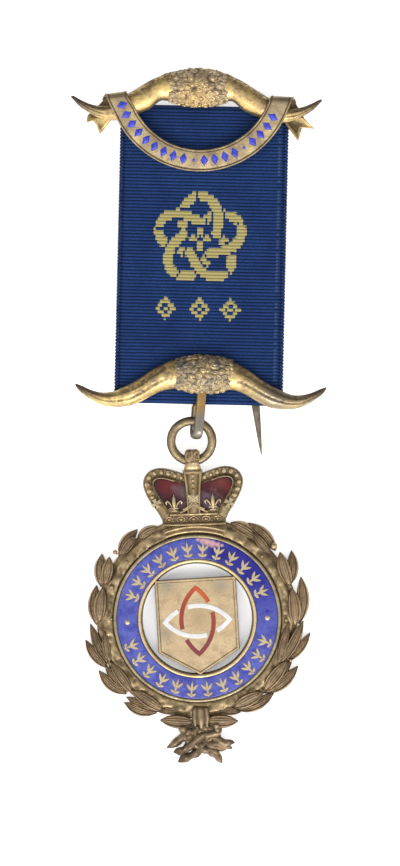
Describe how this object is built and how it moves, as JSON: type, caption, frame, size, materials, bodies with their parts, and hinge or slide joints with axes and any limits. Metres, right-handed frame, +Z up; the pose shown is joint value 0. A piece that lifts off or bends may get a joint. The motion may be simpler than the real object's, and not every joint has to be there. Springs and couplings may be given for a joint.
{
  "type": "society breast jewel with ribbon and pendant",
  "caption": "Gilt and enamel breast jewel: two horned bars with a blue ribbon between them, a scroll, and a crowned, wreathed round pendant on a hook and ring, lying flat.",
  "frame": {"origin": "on the table under the middle of the jewel's length and width, with the jewel lying on its back", "axes": "+X to the right across the jewel as seen from the front, +Y towards the top bar, +Z up, out of its front"},
  "size_m": [0.0592, 0.1588, 0.0096],
  "materials": {
    "gilt_bars": "worn gilding, satin",
    "gilt_scroll": "pale gilding, satin",
    "worn_gilt": "tarnished gilding",
    "pale_gilt": "mottled gilding",
    "steel": "dull",
    "ribbon_cloth": "ribbed silk",
    "blue_enamel": "opaque, glossy",
    "dark_red_enamel": "opaque, filmed",
    "red_enamel": "opaque, glossy",
    "white_enamel": "opaque, glossy"
  },
  "bodies": {
    "jewel": {"top_bar": "gilt_bars", "brooch_pin": "steel", "scroll": "gilt_scroll", "scroll_enamel": "blue_enamel", "ribbon": "ribbon_cloth", "lower_bar": "gilt_bars", "pin_rivet": "gilt_bars", "suspension_ring": "gilt_bars", "crown_wreath": "worn_gilt", "crown_enamel": "dark_red_enamel", "medallion": "pale_gilt", "ring_enamel": "blue_enamel", "motif_red": "red_enamel", "motif_white": "white_enamel"},
    "bar_pin": {"bar_pin": "steel"}
  },
  "joints": [
    {"name": "bar_pin_hinge", "type": "hinge", "parent": "jewel", "child": "bar_pin", "pos_m": [0.01302, 0.00666, 0.00085], "axis": [0, 0, 1], "range_deg": [-97.5, 245]}
  ]
}
